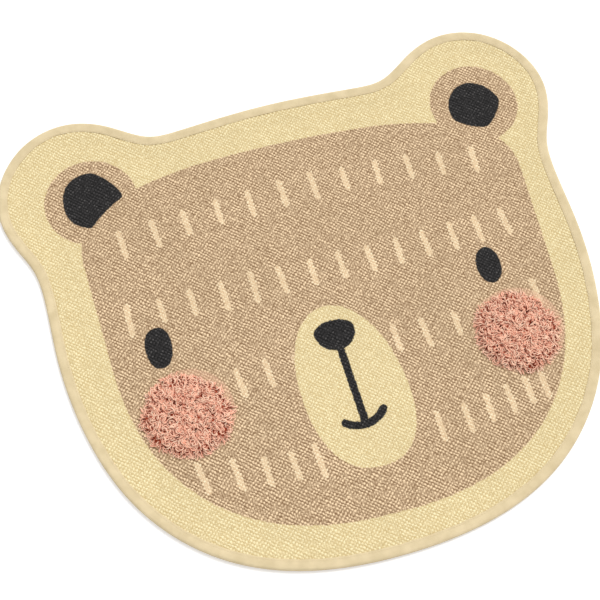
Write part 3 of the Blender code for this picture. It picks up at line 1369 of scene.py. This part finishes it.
@dataclass
class FoldedTape:
    """The tape folded over the cloth's edge and sewn through, all round the rug.

    Attributes:
        edge: The rug's edge.
        reach: How far in the tape comes.
        height: How thick the whole rim is.
        tape: How thick the tape is.
        bend: How far in the round of the fold starts.
        power: The power of the superellipse that the fold is half of; 2 is an ellipse.
        press: How far the inner edge of its upper side is pressed down into the cloth.
        fall: The power of the way inward with which it falls to that edge.
        lower_share: The lower side's share in the upper side's sinking; being negative, it rises.
        seam, seam_width: How far in the stitches run, and how wide the furrow along them is.
        furrow, furrow_beat: How deep the furrow is, and how much deeper or less between stitches.
        wander, pucker, rolling: How far the inner edge strays, the tape puckers and the fold rolls.
        stitch_pitch, stitch_length, thread: The stitches' spacing, length and radius.
        askew, stray, uneven: The spread of their slant, of their place and of their length.
        cotton, sewing: The finishes.
    """

    edge: RugEdge
    reach: float = 15.5 * MM
    height: float = 7.2 * MM
    tape: float = 1.2 * MM
    bend: float = 4.2 * MM
    power: float = 2.3
    press: float = 1.1 * MM
    fall: float = 1.2
    lower_share: float = -0.35
    seam: float = 13.3 * MM
    seam_width: float = 1.6 * MM
    furrow: float = 0.07 * MM
    furrow_beat: float = 0.04 * MM
    wander: float = 0.22 * MM
    pucker: float = 0.05 * MM
    rolling: float = 0.14 * MM
    stitch_pitch: float = 4.4 * MM
    stitch_length: float = 3.3 * MM
    thread: float = 0.36 * MM
    askew: float = 0.09
    stray: float = 0.12 * MM
    uneven: float = 0.06
    cotton: CottonTape = CottonTape()
    sewing: SewingThread = SewingThread()

    @property
    def stitches(self) -> int:
        """How many stitches go round."""
        return round(self.edge.length / self.stitch_pitch)

    def section(self) -> Array:
        """The fold cut across, from the upper side's inner edge round to it again.

        The outer wall is a half superellipse at the fold and two straight flanks. The inner wall is
        the same, one thickness in and with fewer points. A point past each end closes the lip.

        Returns:
            One row of inward and up for each point.
        """
        flank = np.array([1.0, 0.94, 0.87, 0.80, 0.68, 0.54])
        outer = self.flank_and_fold(flank, wall=0.0, steps=9)
        inner = self.flank_and_fold(flank[[0, 3, 5]], wall=self.tape, steps=5)
        inward, off = self.reach + self.tape * 0.22, self.height / 2 - self.tape / 2
        above, below = ([[inward, self.height / 2 + way * off]] for way in (1, -1))
        return np.concatenate([outer, below, inner[::-1], above])

    def flank_and_fold(self, flank: Array, wall: float, steps: int) -> Array:
        """One wall of the section: the upper flank inward to outward, the fold, the lower flank back.

        Args:
            flank: Where the flank's points are, as shares of the reach.
            wall: How deep in the tape's own thickness the wall lies.
            steps: How many points the fold gets.

        Returns:
            One row of inward and up for each point.
        """
        half = self.height / 2 - wall
        angle = np.linspace(math.pi / 2, -math.pi / 2, steps)
        bulge = np.abs(np.cos(angle)) ** (2 / self.power)
        rise = np.sign(np.sin(angle)) * np.abs(np.sin(angle)) ** (2 / self.power)
        fold = np.stack([self.bend - (self.bend - wall) * bulge, self.height / 2 + half * rise], axis=1)
        upper, lower = (
            np.stack([flank * self.reach, np.full(len(flank), self.height / 2 + way * half)], axis=1)
            for way in (1, -1)
        )
        return np.concatenate([upper, fold, lower[::-1]])

    def surface(self, inward: Array, up: Array, turn: Array) -> tuple[Array, Array]:
        """The fold's unevenness at each station.

        The tape sinks along its seam, most between the stitches, it puckers at a stitch's length and
        over longer uneven ones, and its inner edge wanders. Its lower side stays on the floor.

        Args:
            inward: Distances in from the edge, of the plain section.
            up: Heights of the plain section.
            turn: How far round the rug each station is, from 0 to 1.

        Returns:
            The new distances and heights, one row for each station.
        """
        past_bend = ease(inward, self.bend, self.reach)
        wander = round_drift(turn, fewest=20, most=110, seed=31)[:, None] * self.wander
        pucker = round_drift(turn, fewest=90, most=330, seed=32)[:, None] * self.pucker
        rolling = round_drift(turn, fewest=12, most=60, seed=33)[:, None] * self.rolling
        beat = np.cos(TURN * turn * self.stitches)[:, None]
        near_seam = np.exp(-(((inward - self.seam) / self.seam_width) ** 2))
        sewn = near_seam * (self.furrow + self.furrow_beat * beat)
        outer_wall = ease(up, self.height - 0.9 * self.tape, self.height - 0.2 * self.tape)
        falling = np.maximum((inward - self.bend) / (self.reach - self.bend), 0) ** self.fall
        crown = self.press * (0.35 + 0.65 * outer_wall) * falling
        drop = sewn + crown - (pucker * past_bend * 0.8 + rolling * ease(inward, 0, self.bend))
        height = up - np.where(up > self.height / 2, 1.0, self.lower_share) * drop
        out = inward + wander * past_bend + pucker * 0.25 * (1 - past_bend)
        return out, np.maximum(height, 0.0)

    def build(self) -> bpy.types.Object:
        """Returns:
            The tape.
        """
        section = self.section()
        count = len(self.edge.points)
        out, height = self.surface(*section.T, np.arange(count) / count)
        plan = self.edge.points[:, None] + out[..., None] * self.edge.inward[:, None]
        points = np.concatenate([plan, height[..., None]], axis=-1).reshape(-1, 3)
        faces = ring_quads(count, len(section), closed=True)[:, ::-1]
        piece = make_piece("folded_tape", points, [faces])
        lay_chart(piece, "tape", self.chart(section, count))
        piece.data.materials.append(self.cotton.material())
        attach(piece, "root")
        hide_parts("edge_binding")
        seams = [self.sew(side) for side in Side]
        return piece

    def chart(self, section: Array, count: int) -> Array:
        """The tape's UV map in millimetres, for the corners of its faces in turn.

        Args:
            section: The fold cut across.
            count: How many stations go round.

        Returns:
            One row of along and across for each corner.
        """
        round_section = np.concatenate([section, section[:1]])
        across = np.append(0.0, np.cumsum(np.linalg.norm(np.diff(round_section, axis=0), axis=1))) / MM
        along = np.arange(count + 1) / count * self.edge.length / MM
        station, side = np.meshgrid(np.arange(count), np.arange(len(section)), indexing="ij")
        steps = ((1, 0), (1, 1), (0, 1), (0, 0))
        corners = [np.stack([along[station + a], across[side + b]], axis=-1) for a, b in steps]
        return np.stack(corners, axis=2).reshape(-1, 2)

    def sew(self, side: Side) -> bpy.types.Object:
        """One row of stitches along the seam: short round-ended threads, a little askew.

        A thread is a tube of rings whose radius is sin(s) ** 0.35 of the thread's, for s from 0 to pi,
        and whose ends dip into the tape by 0.7 cos(s) squared of it.

        Args:
            side: The tape's face that they lie on.

        Returns:
            The stitches, as one piece.
        """
        way, seed = side.value
        chance = np.random.default_rng(seed)
        count, rings, sides = self.stitches, 6, 5
        turn = (np.arange(count) + 0.5) / count
        station = (turn * len(self.edge.points)).astype(int)
        inward = self.edge.inward[station]
        along = np.stack([inward[:, 1], -inward[:, 0]], axis=1)
        seat = self.edge.inside(self.seam)[station] + inward * chance.normal(0, self.stray, count)[:, None]
        along = unit(along + inward * chance.normal(0, self.askew, count)[:, None])
        face = self.height if side is Side.TOP else 0.0
        level = self.surface(np.array([self.seam]), np.array([face]), turn)[1][:, 0]
        level = level + 0.4 * self.thread if side is Side.TOP else np.maximum(level, 0.8 * self.thread)
        sweep = np.linspace(0, math.pi, rings)
        around = np.arange(sides) / sides * TURN
        length = self.stitch_length / 2 * (1 + chance.normal(0, self.uneven, count))
        run = -np.cos(sweep)[None, :, None] * length[:, None, None]
        width = (np.sin(sweep) ** 0.35)[:, None] * self.thread
        dip = (np.cos(sweep) ** 2 * 0.7 * self.thread)[:, None]
        across = np.broadcast_to(np.cos(around) * width, (count, rings, sides))
        here, forward, aside = (vector[:, None, None] for vector in (seat, along, inward))
        flat = here + run[..., None] * forward + across[..., None] * aside
        high = level[:, None, None] + np.sin(around) * width * 0.8 - dip * way
        points = np.concatenate([flat, np.maximum(high, 0.0)[..., None]], axis=-1).reshape(-1, 3)
        quads = many(ring_quads(rings, sides, closed=False), count, rings * sides)
        piece = make_piece(f"seam_stitches_{side.name.lower()}", points, [quads])
        close_ends(piece)
        piece.data.materials.append(self.sewing.material())
        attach(piece, "root")
        return piece


def close_ends(piece: bpy.types.Object) -> None:
    """Merges the points that a shape's poles share, so that its ends are closed.

    Args:
        piece: A piece of closed shapes whose first and last rings are points.
    """
    form = bmesh.new()
    form.from_mesh(piece.data)
    bmesh.ops.remove_doubles(form, verts=form.verts, dist=0.002 * MM)
    bmesh.ops.recalc_face_normals(form, faces=form.faces)
    form.to_mesh(piece.data)
    form.free()
    piece.data.shade_smooth()


# ---- The curly cheeks ----


class Zone(Enum):
    """The two parts of a cheek's pile: from and to which share of its curls, and what it adds to the seed."""

    MIDDLE = (0.0, 0.5, 100)
    RIM = (0.5, 1.0, 200)


@dataclass
class CurlyCheek:
    """One cheek: a lumpy bed full of short curls of yarn that lean into clumps.

    Attributes:
        node: The cheek's solid.
        yarn: The yarn's finish.
        seed: The seed of its unevenness.
        long_axis: The bearing along which the cheek is longest, in degrees.
        comb: The bearing along which the pile lies, in degrees.
        stretch: How much further than its mean it reaches along its long axis, as a share.
        uneven: How uneven its outline is, as a share.
        curls: How many curls of yarn.
        reach: How far from the middle the outermost roots are.
        bed: How high the bed is.
        lumps, lump_length: How much higher and lower the bed's lumps are, as a share, and how long.
        buried: How far under the bed's top the curls start.
        thread: The yarn's radius.
        length: How long a curl is.
        segments, sides: How finely the tube of a curl is cut along it and round it.
        clump_spacing: How far apart the clumps are.
        loose_root, loose_start: The spread of the roots' places and of their depths.
        middle_tone, loose_tone: The curls' usual tone and its spread.
        ply_length: The length of yarn in which its plies turn once.
    """

    node: str
    yarn: PileYarn
    seed: int
    long_axis: float
    comb: float
    stretch: float = 0.045
    uneven: float = 0.03
    curls: int = 2900
    reach: float = 59.0 * MM
    bed: float = 9.2 * MM
    lumps: float = 0.14
    lump_length: float = 16.0 * MM
    buried: float = 2.0 * MM
    thread: float = 0.92 * MM
    length: float = 12.5 * MM
    segments: int = 10
    sides: int = 4
    clump_spacing: float = 12.0 * MM
    loose_root: float = 0.8 * MM
    loose_start: float = 0.6 * MM
    middle_tone: float = 0.53
    loose_tone: float = 0.20
    ply_length: float = 2.0 * MM

    def middle(self) -> Array:
        """The middle of the solid, seen from above."""
        low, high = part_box(self.node)
        return np.array([(low.x + high.x) / 2, (low.y + high.y) / 2])

    @property
    def along_curl(self) -> Array:
        """How far along a curl each ring of its tube is, from 0 to 1."""
        return np.arange(self.segments + 1) / self.segments

    @property
    def round_curl(self) -> Array:
        """How far round a curl each point of a ring is, from 0 to 1."""
        return np.arange(self.sides) / self.sides

    def build(self) -> list[bpy.types.Object]:
        """Makes the bed and the curls in the place of the cheek's solid.

        Returns:
            The bed, and the curls of each zone.
        """
        middle, floor = self.middle(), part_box(self.node)[0].z
        bed = self.make_bed(middle, floor)
        pile = [self.make_curls(zone, middle, floor) for zone in Zone]
        for piece in (bed, *pile):
            piece.data.materials.append(self.yarn.material())
            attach(piece, "root")
        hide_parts(self.node)
        return [bed, *pile]

    def spread(self, out: Array, angle: Array) -> Array:
        """Places round the middle of the cheek.

        The way out is the reach times 1 + stretch * cos(2 (bearing - long axis)), and a little uneven.

        Args:
            out: How far out each place is, as a share of the way.
            angle: Its bearing, in radians.

        Returns:
            One row of x and y for each place.
        """
        longer = self.stretch * np.cos(2 * (angle - math.radians(self.long_axis)))
        uneven = round_drift(angle.ravel() / TURN, fewest=3, most=12, seed=self.seed).reshape(angle.shape)
        radius = out * self.reach * (1 + longer + self.uneven * uneven)
        return np.stack([radius * np.cos(angle), radius * np.sin(angle)], axis=-1)

    def sunflower(self, number: Array, count: int, turned: float = 0.0) -> Array:
        """Evenly full places, as a sunflower's seeds lie, for the given numbers of so many."""
        return self.spread(np.sqrt((number + 0.5) / count), number * GOLDEN_ANGLE + turned)

    def clump_middles(self) -> Array:
        """Places of the clumps: a sunflower's seeds, shaken.

        Returns:
            One row of x and y for each clump.
        """
        chance = np.random.default_rng(self.seed)
        count = round((self.reach / self.clump_spacing) ** 2 * math.pi)
        places = self.sunflower(np.arange(count), count, self.seed)
        return places + chance.normal(0, self.clump_spacing * 0.2, places.shape)

    def to_clump(self, places: Array) -> tuple[Array, Array]:
        """Which clump each place belongs to.

        A clump is long the way the pile lies: the distance to it counts 0.6 of the way along and 1.3
        of the way across. A parting runs where the next clump is as near, but only here and there, by
        a slow drift.

        Args:
            places: One row of x and y for each place.

        Returns:
            The way from each place to its clump's middle, and how much of a parting it lies in, 0 to 1.
        """
        middles = self.clump_middles()
        comb = math.radians(self.comb)
        away = places[:, None] - middles
        along = away @ (math.cos(comb), math.sin(comb))
        across = away @ (-math.sin(comb), math.cos(comb))
        gap = np.hypot(0.6 * along, 1.3 * across)
        order = np.argsort(gap, axis=1)[:, :2]
        first, second = np.take_along_axis(gap, order, 1).T
        between = 1 - ease(second - first, 0.0, self.clump_spacing * 0.35)
        here_and_there = ease(drift(places, length=22 * MM, seed=self.seed + 50), -0.45, 0.35)
        return middles[order[:, 0]] - places, between * here_and_there

    def ground(self, places: Array, out: Array) -> Array:
        """How high the bed is: rounded off at the rim, lumpy, and low in the partings.

        Args:
            places: One row of x and y for each place.
            out: How far out each place is, as a share of the way.

        Returns:
            The heights.
        """
        _, parting = self.to_clump(places)
        dome = np.sqrt(np.clip(1 - out**3.5, 0, 1))
        lumpy = self.lumps * drift(places, self.lump_length, self.seed + 60)
        return self.bed * dome * (1 + lumpy - 0.6 * parting)

    def make_bed(self, middle: Array, floor: float) -> bpy.types.Object:
        """The backing that the curls stand in: a round pad on rings of points, closed beneath, coloured all
        in painted shade.

        Args:
            middle: The cheek's middle, seen from above.
            floor: The height that it stands on.

        Returns:
            The bed.
        """
        rings, sides = 22, 96
        share = np.concatenate([np.linspace(0, 1, rings), [1.0, 0.5, 0.0]])
        out, angle = np.meshgrid(share, np.arange(sides) / sides * TURN, indexing="ij")
        plan = self.spread(out, angle)
        height = self.ground(plan.reshape(-1, 2), out.ravel()).reshape(out.shape)
        height[rings:] = 0.0
        height[0] = height[0].mean()
        points = np.concatenate([plan + middle, height[..., None] + floor], axis=-1).reshape(-1, 3)
        piece = make_piece(f"{self.node}_bed", points, [ring_quads(len(share), sides, closed=False)])
        close_ends(piece)
        count = len(piece.data.vertices)
        store(piece, "tone", np.full(count, 0.2))
        # The whole bed takes the yarn's deep colour: painted shade under the curls.
        store(piece, "root", np.full(count, 1.0))
        places = np.zeros((count, 3), np.float32)
        piece.data.vertices.foreach_get("co", places.reshape(-1))
        lay_chart(piece, "yarn", places[corner_points(piece), :2] / MM)
        return piece

    def make_curls(self, zone: Zone, middle: Array, floor: float) -> bpy.types.Object:
        """One zone's curls as a joined mesh of thin tubes.

        Their roots lie as a sunflower's seeds do, shaken and drawn a little out of the partings.

        Args:
            zone: Which part of the pile.
            middle: The cheek's middle, seen from above.
            floor: The height that it stands on.

        Returns:
            The curls, as one piece.
        """
        first, last, extra = zone.value
        chance = np.random.default_rng(self.seed + extra)
        number = np.arange(round(first * self.curls), round(last * self.curls))
        count = len(number)
        out = np.sqrt((number + 0.5) / self.curls)
        roots = self.sunflower(number, self.curls)
        roots += chance.normal(0, self.loose_root, roots.shape)
        towards, parting = self.to_clump(roots)
        start = self.ground(roots, out) - self.buried + chance.normal(0, self.loose_start, count)
        roots += towards * (0.2 * parting)[:, None]
        turned, elevation = self.wind(roots, towards, ease(out, 0.88, 1.0), chance)
        length = self.length * chance.uniform(0.8, 1.2, count)
        flat, steep = np.cos(elevation), np.sin(elevation)
        way = np.stack([flat * np.cos(turned), flat * np.sin(turned), steep], axis=-1)
        step = (length / self.segments)[:, None, None] * way
        path = np.cumsum(step, axis=1) - step[:, :1]
        path += np.column_stack([roots, start])[:, None]
        path[..., 2] = np.maximum(path[..., 2], self.thread * 1.05)
        thick = self.thread * chance.uniform(0.8, 1.15, count)
        points = self.skin(path, way, turned, thick) + (*middle, floor)
        faces = [many(shape, count, points.shape[1]) for shape in self.tube_faces()]
        piece = make_piece(f"{self.node}_{zone.name.lower()}_curls", points.reshape(-1, 3), faces)
        self.tint(piece, parting, chance.normal(self.middle_tone, self.loose_tone, count))
        return piece

    def tint(self, piece: bpy.types.Object, parting: Array, tone: Array) -> None:
        """Stores each curl's tone and how much painted shade its points get, and winds the yarn's chart round
        it.

        A point gets painted shade near its curl's root, longer so in a parting, and on the curl's underside.

        Args:
            piece: The curls of one zone.
            parting: How much of a parting each curl stands in, 0 to 1.
            tone: Each curl's tone.
        """
        t, count = self.along_curl, len(tone)
        # Painted shade on the underside of each tube, and deep down near the root and in partings.
        low = 0.11 * (1 - np.sin(self.round_curl * TURN))
        deep = (1 - ease(t, 0.06, 0.54)) * 0.95 + 0.6 * parting[:, None] * (1 - ease(t, 0.3, 1.0))
        on_wall = (deep[..., None] + low).reshape(count, -1)
        depth = np.concatenate([on_wall, deep[:, :1], deep[:, -1:]], axis=1)
        store(piece, "tone", np.repeat(np.clip(tone, 0, 1), depth.shape[1]))
        store(piece, "root", np.clip(depth, 0, 1).ravel())
        around = np.append(np.tile(self.round_curl, len(t)), [0.0, 0.0])
        along = np.append(np.repeat(t, self.sides), [0.0, 1.0]) * self.length / self.ply_length
        lay_chart(piece, "yarn", np.tile(np.stack([around, along], axis=1), (count, 1))[corner_points(piece)])

    def wind(
        self, roots: Array, towards: Array, rim: Array, chance: np.random.Generator
    ) -> tuple[Array, Array]:
        """How each curl runs.

        A curl starts steep, levels out and droops, while its heading turns steadily to one side by 70
        to 260 degrees. Half way it heads the way the pile lies or straight back, give or take a slow
        drift that its neighbours share. Some head for their clump's middle, and at the rim most head
        outward and lie lower.

        Args:
            roots: Where the curls start.
            towards: The way to their clumps' middles.
            rim: How much of the rim each belongs to, 0 to 1.
            chance: The random numbers.

        Returns:
            The heading and the elevation at each ring of each curl's tube, in radians.
        """
        count = len(roots)
        heading = math.radians(self.comb) + 1.3 * drift(roots, length=24 * MM, seed=self.seed + 70)
        heading += chance.normal(0, 0.45, count) + math.pi * (chance.random(count) < 0.5)
        heading = np.where(chance.random(count) < 0.15, np.arctan2(towards[:, 1], towards[:, 0]), heading)
        outward = np.arctan2(roots[:, 1], roots[:, 0]) + chance.normal(0, 0.8, count)
        heading = np.where(rim > chance.uniform(0.2, 0.9, count), outward, heading)
        hand = drift(roots, length=18 * MM, seed=self.seed + 80) + chance.normal(0, 0.3, count)
        sweep = np.radians(chance.uniform(70, 260, count)) * np.sign(hand)
        sweep *= 1 - 0.45 * rim
        lean = np.radians(chance.uniform(50, 85, count) - 35 * rim)
        droop = np.radians(chance.uniform(-40, 0, count) - 25 * rim)
        t = self.along_curl
        elevation = lean[:, None] + (droop - lean)[:, None] * ease(t, 0.05, 0.62)
        return heading[:, None] + sweep[:, None] * (t**1.2 - 0.45), elevation

    def skin(self, path: Array, way: Array, turned: Array, thick: Array) -> Array:
        """The points of each curl's tube, ring by ring, and then those of its foot and its tip.

        A ring uses the side (sin h, -cos h, 0) of the heading h and the side crossed with the way.

        Args:
            path: The middles of the rings.
            way: The unit vector along the curl at each of them.
            turned: The heading at each of them.
            thick: The radius of each curl, which narrows towards its tip.

        Returns:
            One row of x, y, z for each point of each curl.
        """
        radius = thick[:, None] * (1 - 0.45 * ease(self.along_curl, 0.8, 1.0))
        side = np.stack([np.sin(turned), -np.cos(turned), np.zeros_like(turned)], axis=-1)
        top = np.cross(side, way)
        around = (self.round_curl * TURN)[:, None]
        ring = np.cos(around) * side[:, :, None] + np.sin(around) * top[:, :, None]
        tube = path[:, :, None] + radius[..., None, None] * ring
        tips = path[:, -1:] + way[:, -1:] * self.thread * 0.5
        points = np.concatenate([tube.reshape(len(path), -1, 3), path[:, :1], tips], axis=1)
        points[..., 2] = np.maximum(points[..., 2], 0.05 * MM)
        return points

    def tube_faces(self) -> tuple[Array, Array, Array]:
        """The faces of one curl.

        Returns:
            The quads of its wall, and the triangles that close its foot and its tip.
        """
        sides, last = self.sides, self.segments * self.sides
        here, ahead = closed_loop(0, sides).T
        foot_point, tip_point = (np.full(sides, last + sides + extra) for extra in (0, 1))
        foot = np.stack([here, ahead, foot_point], axis=1)
        tip = np.stack([last + ahead, last + here, tip_point], axis=1)
        return ring_quads(self.segments + 1, sides, closed=False)[:, ::-1], foot, tip


# ---- The studio ----


@dataclass
class Studio:
    """The floor, the light and the camera.

    Attributes:
        camera_place, camera_turn: Where the camera is, and its turn about X, Y and Z in degrees.
        lens, sensor: Its focal length and the width of its sensor, in millimetres.
        sky: The strength of the even light from all round.
        sun: The strength of the lamp.
        sun_width: How wide the lamp looks, in degrees; it sets how soft its shadows are.
        sun_from: Where the lamp stands, seen from the rug.
        floor_half, floor_cells: Half the floor's width, and how many faces it has each way.
    """

    camera_place: tuple[float, float, float] = (-0.2587, -0.6367, 1.6867)
    camera_turn: tuple[float, float, float] = (22.0, -1.0, -16.22)
    lens: float = 72.0
    sensor: float = 36.0
    sky: float = 0.72
    sun: float = 1.95
    sun_width: float = 30.0
    sun_from: tuple[float, float, float] = (0.72, 0.62, 1.0)
    floor_half: float = 80.0
    floor_cells: int = 8

    def build(self) -> None:
        """Sets the stage."""
        self.lay_floor()
        self.light()
        self.aim()

    def lay_floor(self) -> None:
        """A wide flat floor under the rug, as a grid of squares."""
        cells, points_each_way = self.floor_cells, self.floor_cells + 1
        steps = np.linspace(-self.floor_half, self.floor_half, points_each_way)
        x, y = np.meshgrid(steps, steps, indexing="ij")
        points = np.stack([x.ravel(), y.ravel(), np.zeros(x.size)], axis=1)
        i, j = np.meshgrid(np.arange(cells), np.arange(cells), indexing="ij")
        here = (i * points_each_way + j).ravel()
        beside = here + points_each_way
        floor = make_piece("studio_floor", points, [np.stack([here, beside, beside + 1, here + 1], axis=1)])
        floor.data.materials.append(StudioFloor().material())

    def light(self) -> None:
        """An even white sky and one broad soft lamp from the ears' side."""
        world = bpy.data.worlds.new("studio")
        bpy.context.scene.world = world
        world.use_nodes = True
        background = world.node_tree.nodes["Background"]
        background.inputs["Color"].default_value = (1.0, 1.0, 1.0, 1.0)
        background.inputs["Strength"].default_value = self.sky
        lamp = bpy.data.lights.new("studio_lamp", "SUN")
        lamp.energy = self.sun
        lamp.angle = math.radians(self.sun_width)
        light = bpy.data.objects.new("studio_lamp", lamp)
        across, up, high = self.sun_from
        flat = math.hypot(across, up)
        light.rotation_euler = Euler((math.atan2(flat, high), 0.0, math.atan2(across, -up)))
        bpy.context.scene.collection.objects.link(light)

    def aim(self) -> None:
        """The camera at the photograph's angle, and plain colours."""
        data = bpy.data.cameras.new("photo_camera")
        data.lens = self.lens
        data.sensor_width = self.sensor
        camera = bpy.data.objects.new("photo_camera", data)
        camera.location = self.camera_place
        camera.rotation_euler = Euler([math.radians(angle) for angle in self.camera_turn])
        bpy.context.scene.collection.objects.link(camera)
        bpy.context.scene.camera = camera
        bpy.context.scene.view_settings.view_transform = "Standard"


def report(piece: bpy.types.Object) -> None:
    """Logs a piece's name and how many triangles it has."""
    triangles = sum(len(polygon.vertices) - 2 for polygon in piece.data.polygons)
    LOG.info("%s: %d triangles", piece.name, triangles)


def main() -> None:
    """Builds and dresses the rug, piece by piece, and sets the studio."""
    logging.basicConfig(level=logging.INFO, format="%(message)s")
    edge = RugEdge.from_tape(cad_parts["edge_binding"])
    left_yarn, right_yarn = (PileYarn(f"{side}_pile_yarn") for side in ("left", "right"))
    cheeks = [
        CurlyCheek("cheek_pile_left", left_yarn, seed=3, long_axis=147.0, comb=-90.0),
        CurlyCheek("cheek_pile_right", right_yarn, 8, 125.0, -72.0, curls=2750, reach=57.8 * MM),
    ]
    middles = np.stack([cheek.middle() for cheek in cheeks])
    report(WovenCloth(edge, middles).build())
    report(FoldedTape(edge).build())
    for cheek in cheeks:
        for piece in cheek.build():
            report(piece)
    Studio().build()


if __name__ == "__main__":
    main()
